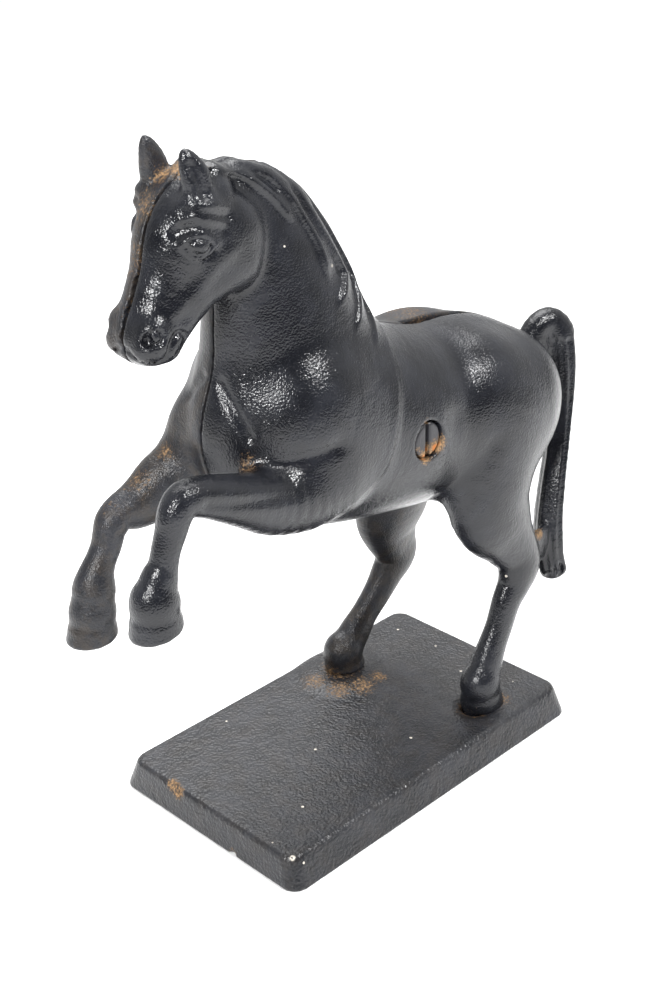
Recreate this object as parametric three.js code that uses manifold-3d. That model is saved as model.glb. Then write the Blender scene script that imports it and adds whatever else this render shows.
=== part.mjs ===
// Cast-iron still bank in the form of a prancing horse on a plate.
// Millimetres, +Z up. The horse faces -X and its left side is -Y.
// Two hollow half castings are held by one screw, and the left hind hoof is riveted to the plate.
import * as THREE from 'three';
import { mergeVertices } from 'three/addons/utils/BufferGeometryUtils.js';
import { LoftGeometry } from 'three/addons/geometries/LoftGeometry.js';
import Module from 'manifold-3d';

const wasm = await Module();
wasm.setup();

// ---- Driving dimensions ----
const PLATE = { length: 113, width: 69.4, height: 9, topInsetX: 1.8, topInsetY: 2.9, cornerRadius: 4.4, wall: 5, top: 4.2 };
const PAD = { x: 15.5, y: 20, radiusX: 12, radiusY: 11, rise: 3, top: 10.2 };
const FIT = 0.3;                       // gap between pieces that touch
const SEAM_GAP = 0.3;                  // gap between the two half castings
const WALL = 3.2;                      // thickness of the half castings
const SCREW = { x: 6, z: 101.5, headRadius: 4.75, headHeight: 2.9, shankRadius: 2.35, headFaceY: -22.6, endY: 21.6 };
const SCREW_SLOT = { width: 1.3, depth: 1.5 };
const RECESS = { radius: 5.5, floorY: -20.2 };
const POST = { radius: 5.6, collarRadius: 7.6, collarDepth: 6, endY: 21 };   // tube round the screw, thick at the wall
const COIN_SLOT = { x: 35.5, length: 27, nearY: -0.5, farY: 1.8 };
const LOCATING_PIN = { radius: 1.2, reach: 1.9, holeRadius: 1.6, holeDepth: 2.4, bossRadius: 3.2, bossDepth: 6 };
const PIN_PLACES = [{ x: -40.3, z: 124 }, { x: 76, z: 88 }];
const TENON = { x: 29, y: -21, radius: 3.3, headRadius: 5, headThickness: 1.6 };
const HOOF_RECESS = { radius: 7.4, depth: 1.1 };
const SIDES = { body: 20, limb: 12, small: 8, round: 20 };
const SPAN = 200;                      // longer than anything that it cuts

// ---- Shape of the horse: x, y, z of each section's centre, half width across, half depth ----
const TRUNK = [
  [-33, 0, 113, 13.5, 16], [-27, 0, 110, 18, 21.5], [-17, 0, 107, 21.5, 26], [-4, 0, 103.5, 23, 26.5],
  [10, 0, 99.9, 23.8, 25.4], [24, 0, 96.9, 23.6, 24.6], [38, 0, 95, 24, 25.4], [50, 0, 92.5, 23.5, 24.5],
  [60, 0, 90, 20.5, 21], [66, 0, 88, 15, 15],
];
const NECK = [
  [-36, 0, 167.5, 7, 8.5], [-30, 0, 160.5, 8.5, 12.3], [-26.8, 0, 151.8, 11, 16.2], [-24, 0, 142, 13.5, 19.4],
  [-21.5, 0, 130.5, 16.5, 22.5], [-19, 0, 118, 19.5, 25],
];
const CREST = [
  [-42, 0, 173.8, 4.2, 4], [-34, 0, 171.2, 4.4, 4], [-26.2, 0, 166.5, 4.4, 4.5], [-18.5, 0, 159.5, 4.4, 5],
  [-11.5, 0, 149.8, 4.8, 5.8], [-7.5, 0, 139.5, 5.2, 6.5], [-4.5, 0, 130, 7, 8],
];
const HEAD = [
  [-46, 0, 171.5, 9.5, 7.5], [-48.5, 0, 167, 11, 10], [-50.5, 0, 162.5, 10.8, 11.5], [-54.5, 0, 155.5, 9, 9.6],
  [-59.5, 0, 149, 7.8, 7.8], [-62.7, 0, 144, 8.2, 7], [-64, 0, 141.8, 7.6, 5],
];
const EAR = [
  [-51, 7, 173, 2.6, 3.2], [-51.6, 6.9, 177.5, 2.3, 3.2], [-52.9, 6.3, 181.3, 1.6, 2.2], [-53.6, 6, 183.2, 0.8, 0.9],
];
const LEFT_FORELEG = [
  [-24, -13, 99, 11, 13], [-31, -14, 97, 10, 11], [-41.8, -16, 99.8, 7.5, 8.2], [-50.8, -17, 103.7, 6.3, 6.6],
  [-57.7, -17.5, 107, 5.5, 5.6], [-63.8, -17.5, 109.7, 4.8, 4.9], [-69.3, -17.5, 110.9, 4.2, 4.4],
  [-72, -17.5, 108.5, 4, 4.2], [-73.3, -17.2, 104.6, 3.6, 3.8], [-74.9, -17, 100.5, 3.3, 3.5],
  [-76, -16.8, 96.5, 3.4, 3.6], [-77.5, -16.6, 93, 4.2, 4.6], [-78.3, -16.5, 89.8, 3.6, 3.8],
];
const RIGHT_FORELEG = [
  [-24, 12, 97, 11, 13], [-34, 12, 99, 10, 11], [-43.2, 12.6, 99.4, 8.5, 9.2], [-49, 14, 98.6, 7, 7.4],
  [-53.7, 15, 96.7, 5.6, 5.8], [-57.8, 15.6, 95.2, 4.6, 4.9], [-62.5, 16, 93.8, 4.3, 4.5], [-65, 16, 92, 4.3, 4.4],
  [-66.2, 16, 90, 3.9, 4.1], [-67.5, 16, 86.5, 3.7, 3.9], [-69.5, 16, 83.2, 3.7, 3.9], [-71.4, 16, 79.7, 4.3, 4.6],
  [-72.7, 16, 76, 5.2, 5.5], [-73.9, 16, 72.5, 4.5, 4.8],
];
const LEFT_HINDLEG = [
  [44, -11, 92, 14, 18], [39, -15.5, 81.5, 10.5, 16], [37.2, -18, 70.5, 8, 14], [40.6, -19.6, 60.5, 6, 11],
  [45.5, -20.5, 52.7, 5, 8.6], [47.5, -21, 47.8, 4.8, 7.4], [45.7, -21, 43.2, 4.3, 5.8], [42.5, -21, 38.5, 3.8, 4.8],
  [39.7, -21, 31.8, 3.5, 4.4], [36.8, -21, 26.7, 3.7, 4.5], [34.3, -21, 22.1, 4.3, 5], [32.6, -21, 17.6, 4.7, 5.4],
];
const RIGHT_HINDLEG = [
  [42, 11, 85, 14, 18], [36.5, 15, 71, 10, 15], [35.6, 17, 60.2, 7.8, 13.5], [36.6, 18.5, 52.2, 6, 10.8],
  [39.3, 19.5, 44.7, 5, 8.4], [40.3, 20, 39.6, 4.8, 7.2], [36.7, 20, 35.1, 4.3, 5.8], [32.3, 20, 30, 3.9, 4.8],
  [26.6, 20, 24.8, 3.7, 4.4], [22.2, 20, 20.5, 4.3, 5], [18.5, 20, 16.5, 4.8, 5.4],
];
const TAIL = [
  [62, -5.5, 98, 3, 4], [66, -5.5, 103, 3.4, 4.5], [70, -5.6, 108.3, 3.7, 4.2], [75, -6.6, 110.2, 3.9, 3.4],
  [79.3, -8.4, 107, 4.1, 3.2], [80.4, -9.8, 101.5, 4.2, 3], [79.5, -11, 95, 4.2, 2.9], [77.6, -12.2, 87, 4.2, 2.7],
  [74.9, -13.5, 80, 4.3, 2.7], [71.5, -15, 71.8, 4.5, 2.9], [68.7, -16, 65, 4.7, 3.4], [66.5, -17, 56.5, 4.9, 3.9],
  [65.3, -18, 49.5, 5.1, 4.2], [65.3, -18.5, 43, 5.2, 4.2], [65.8, -19, 36, 5.4, 4.4],
];
const TAIL_WEB = [[50, -20.5, 51.5, 1.6, 4], [57, -19.8, 50.5, 1.6, 5], [65, -18.3, 49, 1.6, 6]];
const HOOF = [[0, 0, 5, 5.2], [-0.3, -3.4, 5.5, 5.9], [-0.7, -7.4, 5.9, 6.4]];   // forward, up, half width, half depth
const HOOVES = {
  leftFront: { at: [-79, -16.5, 88.6], pitch: -8 },
  rightFront: { at: [-74, 16, 71.2], pitch: 8 },
  leftHind: { at: [31.2, -21, 16], pitch: -16 },
  rightHind: { at: [16.6, 20, 15.8], pitch: -16 },
};
const HIND_SOLE_Z = { left: 8.1, right: PAD.top + FIT };

// ---- Mesh and solid helpers ----
function solid(geometry) {
  const bare = new THREE.BufferGeometry();
  bare.setAttribute('position', geometry.attributes.position);
  bare.setIndex(geometry.index);
  const merged = mergeVertices(bare, 1e-5);
  const index = merged.index.array;
  const corners = [];
  for (let i = 0; i < index.length; i += 3) {
    const [a, b, c] = [index[i], index[i + 1], index[i + 2]];
    if (a !== b && b !== c && c !== a) corners.push(a, b, c);
  }
  return new wasm.Manifold(new wasm.Mesh({
    numProp: 3,
    vertProperties: new Float32Array(merged.attributes.position.array),
    triVerts: new Uint32Array(corners),
  }));
}

function geometryOf(body) {
  const mesh = body.getMesh();
  const geometry = new THREE.BufferGeometry();
  geometry.setAttribute('position', new THREE.BufferAttribute(mesh.vertProperties, 3));
  geometry.setIndex(new THREE.BufferAttribute(mesh.triVerts, 1));
  geometry.computeVertexNormals();
  return geometry;
}

function joined(solids) {
  return solids.reduce((total, next) => total.add(next));
}

function block(x0, x1, y0, y1, z0, z1) {
  const box = new THREE.BoxGeometry(x1 - x0, y1 - y0, z1 - z0);
  box.translate((x0 + x1) / 2, (y0 + y1) / 2, (z0 + z1) / 2);
  return solid(box);
}

// A cylinder along Y from y0 to y1; radius may differ at the two ends.
function barAlongY(x, z, y0, y1, radius0, radius1 = radius0, sides = SIDES.round) {
  const bar = new THREE.CylinderGeometry(radius1, radius0, y1 - y0, sides);
  bar.translate(x, (y0 + y1) / 2, z);
  return solid(bar);
}

function barAlongZ(x, y, z0, z1, radius, sides = SIDES.round) {
  const bar = new THREE.CylinderGeometry(radius, radius, z1 - z0, sides);
  bar.rotateX(Math.PI / 2);
  bar.translate(x, y, (z0 + z1) / 2);
  return solid(bar);
}

function ball(centre, radii, pitch = 0) {
  const sphere = new THREE.SphereGeometry(1, SIDES.limb, SIDES.small);
  sphere.scale(...radii);
  sphere.rotateY(THREE.MathUtils.degToRad(pitch));
  sphere.translate(...centre);
  return solid(sphere);
}

// ---- Lofted limbs ----
function crossSection(centre, tangent, halfWidth, halfDepth, sides) {
  const across = new THREE.Vector3(0, 1, 0).addScaledVector(tangent, -tangent.y).normalize();
  const deep = new THREE.Vector3().crossVectors(tangent, across);
  const ring = [];
  for (let i = 0; i < sides; i++) {
    const angle = 2 * Math.PI * i / sides;
    ring.push(centre.clone()
      .addScaledVector(across, halfWidth * Math.cos(angle))
      .addScaledVector(deep, halfDepth * Math.sin(angle)));
  }
  return ring;
}

// Sections through the stations, with steps from each to the next, shrunk by a wall where one is given.
function limb(stations, { sides = SIDES.limb, steps = 1, wall = 0, roundStart = true, roundEnd = true } = {}) {
  const path = new THREE.CatmullRomCurve3(stations.map(([x, y, z]) => new THREE.Vector3(x, y, z)));
  const size = new THREE.CatmullRomCurve3(stations.map(([, , , w, d]) => new THREE.Vector3(w - wall, d - wall, 0)));
  const count = (stations.length - 1) * steps;
  const rings = [];
  const endCap = (t, towards) => {
    const centre = path.getPoint(t);
    const tangent = path.getTangent(t);
    const { x: w, y: d } = size.getPoint(t);
    const reach = Math.min(w, d);
    return [0.45, 0.8, 0.97].map((part) => crossSection(
      centre.clone().addScaledVector(tangent, towards * reach * part),
      tangent,
      w * Math.sqrt(1 - part * part),
      d * Math.sqrt(1 - part * part),
      sides,
    ));
  };
  if (roundStart) rings.push(...endCap(0, -1).reverse());
  for (let i = 0; i <= count; i++) {
    const t = i / count;
    const { x: w, y: d } = size.getPoint(t);
    rings.push(crossSection(path.getPoint(t), path.getTangent(t), w, d, sides));
  }
  if (roundEnd) rings.push(...endCap(1, 1));
  return solid(new LoftGeometry(rings, { capStart: true, capEnd: true }));
}

// A hoof flares towards its flat sole; pitch tips its toe up.
function hoof({ at, pitch }) {
  const turn = THREE.MathUtils.degToRad(pitch);
  const stations = HOOF.map(([forward, up, w, d]) => [
    at[0] + forward * Math.cos(turn) + up * Math.sin(turn),
    at[1],
    at[2] - forward * Math.sin(turn) + up * Math.cos(turn),
    w,
    d,
  ]);
  return limb(stations, { steps: 1, roundStart: true, roundEnd: false });
}

// ---- The horse as one body, before it is split ----
function mirrored(stations) {
  return stations.map(([x, y, ...rest]) => [x, -y, ...rest]);
}

function trunkAndNeck(wall = 0) {
  const sides = wall ? SIDES.limb : SIDES.body;
  const steps = wall ? 1 : 2;
  const pieces = [
    limb(TRUNK, { sides, wall, steps }),
    limb(NECK, { sides, wall, steps }),
    limb(HEAD.slice(0, wall ? 5 : undefined), { sides, wall, steps }),
  ];
  return joined(pieces);
}

// Haunch, shoulder and breast swell out of the trunk, and the hollow follows them.
function muscles(side, wall = 0) {
  const swelling = (centre, radii) => ball(centre, radii.map((radius) => radius - wall));
  return joined([
    swelling([55, side * 11, 95], [17, 13, 20]),
    swelling([-27, side * 10, 113], [14, 11, 18]),
    swelling([-33, side * 11, 116], [11, 9, 15]),
  ]);
}

function cheekAndBrow(side) {
  return joined([
    ball([-42.5, side * 6, 161.5], [9.5, 5.5, 10.5], 20),
    ball([-51.5, side * 6.6, 170], [5.4, 5, 5.4]),
  ]);
}

function hollow(side) {
  return trunkAndNeck(WALL).add(muscles(side, WALL));
}

function leftLimbs() {
  return joined([
    limb(LEFT_FORELEG),
    limb(LEFT_HINDLEG),
    hoof(HOOVES.leftFront),
    hoof(HOOVES.leftHind),
    limb(TAIL),
    limb(TAIL_WEB, { sides: SIDES.small, steps: 1 }),
    limb(mirrored(EAR), { sides: SIDES.small }),
  ]);
}

function rightLimbs() {
  return joined([
    limb(RIGHT_FORELEG),
    limb(RIGHT_HINDLEG),
    hoof(HOOVES.rightFront),
    hoof(HOOVES.rightHind),
    limb(EAR, { sides: SIDES.small }),
  ]);
}

function screwPost(side) {
  const { x, z } = SCREW;
  const { radius, collarRadius, collarDepth, endY } = POST;
  const from = (depth) => (side < 0 ? [-endY, -endY + depth] : [endY - depth, endY]);
  return barAlongY(x, z, ...from(endY), radius).add(barAlongY(x, z, ...from(collarDepth), collarRadius));
}

function coinSlot() {
  const half = COIN_SLOT.length / 2;
  return block(COIN_SLOT.x - half, COIN_SLOT.x + half, COIN_SLOT.nearY, COIN_SLOT.farY, 100, 140);
}

function pinBosses(side) {
  const { bossRadius, bossDepth } = LOCATING_PIN;
  const [y0, y1] = side < 0 ? [-bossDepth, 0] : [0, bossDepth];
  return joined(PIN_PLACES.map(({ x, z }) => barAlongY(x, z, y0, y1, bossRadius, bossRadius, SIDES.small)));
}

// ---- The four pieces ----
function basePlate() {
  const { length, width, height, topInsetX, topInsetY, cornerRadius, wall, top } = PLATE;
  const plate = taperedPlate(length, width, 0, height, topInsetX, topInsetY, cornerRadius);
  const hollow = taperedPlate(length - 2 * wall, width - 2 * wall, -1, height - top, topInsetX, topInsetY, cornerRadius);
  const pad = ball([PAD.x, PAD.y, height - 0.6], [PAD.radiusX, PAD.radiusY, PAD.rise])
    .subtract(block(-SPAN, SPAN, -SPAN, SPAN, PAD.top, SPAN))
    .subtract(block(-SPAN, SPAN, -SPAN, SPAN, -SPAN, height - 0.5));
  return plate
    .subtract(hollow)
    .add(pad)
    .subtract(barAlongZ(TENON.x, TENON.y, 0, height + 1, TENON.radius + FIT))
    .subtract(barAlongZ(TENON.x, TENON.y, height - HOOF_RECESS.depth, height + 1, HOOF_RECESS.radius));
}

function taperedPlate(length, width, z0, z1, insetX, insetY, radius) {
  const x = length / 2 - radius;
  const y = width / 2 - radius;
  const outline = new THREE.Shape();
  outline.absarc(x, y, radius, 0, Math.PI / 2);
  outline.absarc(-x, y, radius, Math.PI / 2, Math.PI);
  outline.absarc(-x, -y, radius, Math.PI, 1.5 * Math.PI);
  outline.absarc(x, -y, radius, 1.5 * Math.PI, 2 * Math.PI);
  const slab = new THREE.ExtrudeGeometry(outline, { depth: z1 - z0, bevelEnabled: false, curveSegments: 6 });
  const points = slab.attributes.position;
  for (let i = 0; i < points.count; i++) {
    if (points.getZ(i) > 0) {
      points.setX(i, points.getX(i) * (length - 2 * insetX) / length);
      points.setY(i, points.getY(i) * (width - 2 * insetY) / width);
    }
  }
  slab.translate(0, 0, z0);
  return solid(slab);
}

function leftHalf() {
  const inside = hollow(-1);
  const tenonBottom = PLATE.height - PLATE.top - FIT - TENON.headThickness;
  let shell = joined([trunkAndNeck(), muscles(-1), cheekAndBrow(-1), limb(CREST), leftLimbs()])
    .subtract(inside)
    .add(screwPost(-1))
    .add(pinBosses(-1))
    .subtract(block(-SPAN, SPAN, -SEAM_GAP / 2, SPAN, -SPAN, SPAN))
    .subtract(block(-SPAN, SPAN, -SPAN, SPAN, -SPAN, HIND_SOLE_Z.left));
  shell = joined([
    shell,
    barAlongZ(TENON.x, TENON.y, tenonBottom + 0.5, HIND_SOLE_Z.left + 4, TENON.radius),
    barAlongZ(TENON.x, TENON.y, tenonBottom, tenonBottom + TENON.headThickness, TENON.headRadius),
    ...PIN_PLACES.map(({ x, z }) => barAlongY(x, z, -3, LOCATING_PIN.reach, LOCATING_PIN.radius, LOCATING_PIN.radius, 12)),
  ]);
  const { headFaceY, headHeight, headRadius, shankRadius } = SCREW;
  return shell
    .subtract(barAlongY(SCREW.x, SCREW.z, -SPAN, RECESS.floorY, RECESS.radius))
    .subtract(barAlongY(SCREW.x, SCREW.z, headFaceY, headFaceY + headHeight + FIT, headRadius + FIT, shankRadius + FIT))
    .subtract(barAlongY(SCREW.x, SCREW.z, headFaceY, 1, shankRadius + FIT))
    .subtract(coinSlot());
}

function rightHalf() {
  const shell = joined([trunkAndNeck(), muscles(1), cheekAndBrow(1), limb(CREST), rightLimbs()])
    .subtract(hollow(1))
    .add(screwPost(1))
    .add(pinBosses(1))
    .subtract(block(-SPAN, SPAN, -SPAN, SEAM_GAP / 2, -SPAN, SPAN))
    .subtract(block(-SPAN, SPAN, -SPAN, SPAN, -SPAN, HIND_SOLE_Z.right));
  const holes = PIN_PLACES.map(({ x, z }) => barAlongY(x, z, -1, LOCATING_PIN.holeDepth, LOCATING_PIN.holeRadius, LOCATING_PIN.holeRadius, 12));
  return shell
    .subtract(joined(holes))
    .subtract(barAlongY(SCREW.x, SCREW.z, -1, SPAN, SCREW.shankRadius + FIT))
    .subtract(coinSlot());
}

function bodyScrew() {
  const { x, z, headFaceY, headHeight, headRadius, shankRadius, endY } = SCREW;
  const slot = SCREW_SLOT.width / 2;
  return barAlongY(x, z, headFaceY, headFaceY + headHeight, headRadius, shankRadius)
    .add(barAlongY(x, z, headFaceY + 1, endY, shankRadius))
    .subtract(block(x - slot, x + slot, headFaceY - 1, headFaceY + SCREW_SLOT.depth, z - SPAN, z + SPAN));
}

// ---- Materials ----
function blackIron(colour, roughness) {
  return new THREE.MeshStandardMaterial({ color: colour, roughness, metalness: 0.4 });
}

function rustySteel() {
  return new THREE.MeshStandardMaterial({ color: 0x5b4638, roughness: 0.7, metalness: 0.6 });
}

function piece(name, body, material) {
  const mesh = new THREE.Mesh(geometryOf(body), material);
  mesh.name = name;
  return mesh;
}

const bank = new THREE.Group();
bank.add(piece('base_plate', basePlate(), blackIron(0x1f1d1d, 0.65)));
bank.add(piece('left_half', leftHalf(), blackIron(0x17191c, 0.42)));
bank.add(piece('right_half', rightHalf(), blackIron(0x1c1b1a, 0.55)));
bank.add(piece('body_screw', bodyScrew(), rustySteel()));

// The origin is at the bottom centre of the whole object's box.
const box = new THREE.Box3().setFromObject(bank);
bank.position.set(-(box.min.x + box.max.x) / 2, -(box.min.y + box.max.y) / 2, -box.min.z);
bank.updateMatrixWorld(true);

export default bank;
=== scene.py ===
"""A prancing-horse coin bank: two painted iron castings clamped by one screw, on a cast plate.

The castings are sculpted as distance fields in millimetres, measured from the middle of the plate's
underside. The horse looks along -X and its left side is -Y. Surface nets turn the fields into meshes.
"""
import math
import bpy
import numpy as np
from mathutils import Matrix, Vector


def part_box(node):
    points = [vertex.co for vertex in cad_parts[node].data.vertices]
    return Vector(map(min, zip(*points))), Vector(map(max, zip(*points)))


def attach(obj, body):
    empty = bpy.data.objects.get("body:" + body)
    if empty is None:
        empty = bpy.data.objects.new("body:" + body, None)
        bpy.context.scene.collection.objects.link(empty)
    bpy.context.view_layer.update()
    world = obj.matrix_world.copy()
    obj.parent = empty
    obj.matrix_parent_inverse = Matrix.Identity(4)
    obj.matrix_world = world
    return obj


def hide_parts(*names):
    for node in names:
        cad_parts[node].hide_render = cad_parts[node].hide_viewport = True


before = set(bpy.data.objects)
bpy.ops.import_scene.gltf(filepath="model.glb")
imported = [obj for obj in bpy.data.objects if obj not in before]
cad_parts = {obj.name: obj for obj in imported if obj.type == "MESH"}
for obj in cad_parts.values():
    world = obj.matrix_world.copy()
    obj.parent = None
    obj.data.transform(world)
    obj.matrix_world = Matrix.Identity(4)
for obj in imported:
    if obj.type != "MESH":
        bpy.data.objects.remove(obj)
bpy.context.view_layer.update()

MM = 0.001
CELL = 0.5        # size of a mesh cell on the castings
BLOCK = 16 * CELL                        # the castings are worked out in blocks of this size
REACH = 10.0                             # a shape further from a block than this doesn't matter to it
LIP_REACH = 3.0                          # a lock's lip fades this far from its path

plate_low, plate_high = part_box("base_plate")
PLATE_X = (plate_low.x + plate_high.x) / 2 / MM    # where the middle of the plate lies in the row frame

# ---- Distance fields ----


class Block:
    """A regular lattice of points, as three open arrays."""

    def __init__(self, low, count, step):
        step = np.float32(step)
        axes = [np.float32(low[i]) + step * np.arange(count[i], dtype=np.float32) for i in range(3)]
        self.x, self.y, self.z = np.meshgrid(*axes, indexing="ij", sparse=True)
        self.shape = tuple(count)
        self.low = np.array(low, float)
        self.high = self.low + step * (np.array(count) - 1)

    def far(self):
        return np.full(self.shape, 1.5 * REACH, np.float32)

    def misses(self, low, high):
        above = (self.low > np.asarray(high) + REACH).any()
        below = (self.high < np.asarray(low) - REACH).any()
        return bool(above or below)


def smooth_path(stations, steps=3):
    """Catmull-Rom stations between the given ones."""
    rows = np.asarray(stations, float)
    last = len(rows) - 1
    dense = []
    for i in range(last):
        a, b, c, d = rows[max(i - 1, 0)], rows[i], rows[i + 1], rows[min(i + 2, last)]
        for j in range(steps):
            t = j / steps
            dense.append(0.5 * (2 * b + (c - a) * t + (2 * a - 5 * b + 4 * c - d) * t * t
                                + (3 * b - a - 3 * c + d) * t ** 3))
    dense.append(rows[last])
    return np.array(dense)


def limb(p, path, side=(0.0, 1.0, 0.0)):
    """Distance to a body of elliptical sections; a station is x, y, z, half width along side, half depth.

    Inside the body each section bulges on by its depth, so that neighbouring segments meet smoothly.
    """
    best = p.far()
    if p.misses(path[:, :3].min(0) - path[:, 3:].max(), path[:, :3].max(0) + path[:, 3:].max()):
        return best
    side = np.array(side)
    last = len(path) - 2
    for i, (a, b) in enumerate(zip(path[:-1], path[1:])):
        size = max(a[3:].max(), b[3:].max())
        if p.misses(np.minimum(a[:3], b[:3]) - size, np.maximum(a[:3], b[:3]) + size):
            continue
        tangent = b[:3] - a[:3]
        length = np.linalg.norm(tangent)
        tangent /= length
        across = side - side.dot(tangent) * tangent
        across /= np.linalg.norm(across)
        deep = np.cross(across, tangent)
        dx, dy, dz = p.x - np.float32(a[0]), p.y - np.float32(a[1]), p.z - np.float32(a[2])
        along, u, v = (np.float32(e[0]) * dx + np.float32(e[1]) * dy + np.float32(e[2]) * dz
                       for e in (tangent, across, deep))
        h = np.clip(along * np.float32(1 / length), 0, 1)
        over = along - h * np.float32(length)
        wide = np.float32(a[3]) + h * np.float32(b[3] - a[3])
        tall = np.float32(a[4]) + h * np.float32(b[4] - a[4])
        cap = np.minimum(wide, tall) if i in (0, last) else tall
        k = np.sqrt((u / wide) ** 2 + (v / tall) ** 2 + (over / cap) ** 2) + np.float32(1e-6)
        best = np.minimum(best, np.sqrt(u * u + v * v + over * over) * (1 - 1 / k))
    return best


def ball(p, centre, radii, pitch=0.0, yaw=0.0):
    """Distance to an ellipsoid, turned about Z by yaw and then about Y by pitch, in degrees."""
    centre = np.asarray(centre, float)
    if p.misses(centre - max(radii), centre + max(radii)):
        return p.far()
    dx, dy, dz = p.x - np.float32(centre[0]), p.y - np.float32(centre[1]), p.z - np.float32(centre[2])
    if yaw:
        c, s = np.float32(math.cos(math.radians(yaw))), np.float32(math.sin(math.radians(yaw)))
        dx, dy = c * dx + s * dy, c * dy - s * dx
    if pitch:
        c, s = np.float32(math.cos(math.radians(pitch))), np.float32(math.sin(math.radians(pitch)))
        dx, dz = c * dx + s * dz, c * dz - s * dx
    k = np.sqrt((dx / np.float32(radii[0])) ** 2 + (dy / np.float32(radii[1])) ** 2
                + (dz / np.float32(radii[2])) ** 2) + np.float32(1e-6)
    return np.sqrt(dx * dx + dy * dy + dz * dz) * (1 - 1 / k)


def rod_y(p, x, z, radius, low, high):
    """Distance to a rod along Y."""
    round_part = np.sqrt((p.x - np.float32(x)) ** 2 + (p.z - np.float32(z)) ** 2) - np.float32(radius)
    ends = np.maximum(np.float32(low) - p.y, p.y - np.float32(high))
    return np.maximum(round_part, ends)


def join(a, b, blend):
    h = np.clip(0.5 + (b - a) * np.float32(0.5 / blend), 0, 1)
    return b + (a - b) * h - np.float32(blend) * h * (1 - h)


def meet(a, b, blend):
    return -join(-a, -b, blend)


def cut(a, b, blend):
    return -join(-a, b, blend)


def thread(points, radius=0.05):
    """A path of round stations through points; radius is one number or one for each end."""
    first, last = radius if isinstance(radius, tuple) else (radius, radius)
    sizes = np.linspace(first, last, len(points))
    return smooth_path([[*q, r, r] for q, r in zip(points, sizes)])


def groove(p, points, width, depth):
    """How much a rounded furrow along a path takes off the surface."""
    d = np.maximum(limb(p, thread(points)), 0)
    return np.float32(depth) * np.exp(-(d / np.float32(width)) ** 2)


def lip(p, points, rise, spread, edge):
    """How far a lock stands up at its lower edge: a sharp step below the edge and a long slope above it."""
    path = smooth_path(points, 6)
    height = np.zeros(p.shape, np.float32)
    if p.misses(path[:, :3].min(0), path[:, :3].max(0)):
        return height
    nearest = p.far()
    for a, b in zip(path[:-1, :3], path[1:, :3]):
        along = (b - a) / np.linalg.norm(b - a)
        across = np.cross(along, (0.0, -1.0, 0.0))
        across /= np.linalg.norm(across)
        dx, dy, dz = p.x - np.float32(a[0]), p.y - np.float32(a[1]), p.z - np.float32(a[2])
        h = np.clip(along[0] * dx + along[1] * dy + along[2] * dz, 0, np.linalg.norm(b - a))
        qx, qy, qz = dx - h * along[0], dy - h * along[1], dz - h * along[2]
        d = np.sqrt(qx * qx + qy * qy + qz * qz)
        over = across[0] * qx + across[1] * qy + across[2] * qz
        beside = d * d - over * over
        step = np.exp(np.where(over > 0, -over / spread, -(over / edge) ** 2) - beside / LIP_REACH ** 2)
        height = np.where(d < nearest, rise * step, height)
        nearest = np.minimum(d, nearest)
    return height.astype(np.float32)


def ring(centre, facing, radius, tall=1.0):
    """Points round an oval that faces a direction."""
    facing = np.array(facing, float) / np.linalg.norm(facing)
    across = np.cross((0, 0, 1.0), facing)
    across /= np.linalg.norm(across)
    up = np.cross(facing, across)
    turns = np.linspace(0, 2 * math.pi, 9)
    return [np.array(centre) + radius * (math.cos(t) * across + tall * math.sin(t) * up) for t in turns]


def mirrored(points, side):
    """side is -1 for the horse's left, as the points are given, or 1 for its right."""
    return [(q[0], -side * q[1], *q[2:]) for q in points]


# ---- The horse's shape ----
# Stations of the body and the limbs: x, y, z, half width, half depth.
TRUNK = smooth_path([
    [-33, 0, 113, 13.5, 16], [-27, 0, 110, 18, 21.5], [-17, 0, 107, 21.5, 26], [-4, 0, 103.5, 23, 26.5],
    [10, 0, 99.9, 23.6, 25.4], [22, 0, 97.2, 22.9, 25], [36, 0, 95.4, 23.8, 25.5],
    [46, 0, 93.4, 23.6, 24.2],
    [53, 0, 91.5, 18.5, 19.5], [58, 0, 90, 15, 15.5],
], 5)
NECK = smooth_path([
    [-36, 0, 167.5, 7, 8.5], [-30, 0, 160.5, 8.5, 12.3], [-26.8, 0, 151.8, 11, 16.2],
    [-24, 0, 142, 13.5, 19.4],
    [-21.5, 0, 130.5, 16.5, 22.5], [-19, 0, 118, 19.5, 25],
], 6)
CREST = smooth_path([
    [-42, 0, 172.7, 4.2, 4], [-34, 0, 170.7, 4.4, 4.3], [-26.2, 0, 166.7, 4.4, 4.9],
    [-18.9, 0, 159.9, 4.4, 5.4],
    [-13.4, 0, 149.4, 4.8, 5.8], [-11.4, 0, 139, 5.2, 6], [-9.6, 0, 129, 6.4, 6.6],
])
HEAD = smooth_path([
    [-46, 0, 171.5, 9.5, 7.5], [-48.5, 0, 167, 11, 10], [-50.5, 0, 162.5, 10.8, 11.5],
    [-54.5, 0, 155.5, 9, 9.6],
    [-59.5, 0, 149, 7.8, 7.8], [-62.7, 0, 144, 8.2, 7], [-64, 0, 141.8, 7.6, 5],
])
EAR = smooth_path([
    [-51, -7, 173, 2.8, 3.6], [-51.6, -6.9, 177.5, 2.6, 3.6], [-52.9, -6.3, 181.3, 1.7, 2.3],
    [-53.6, -6, 183.2, 0.8, 0.9],
])
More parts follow.
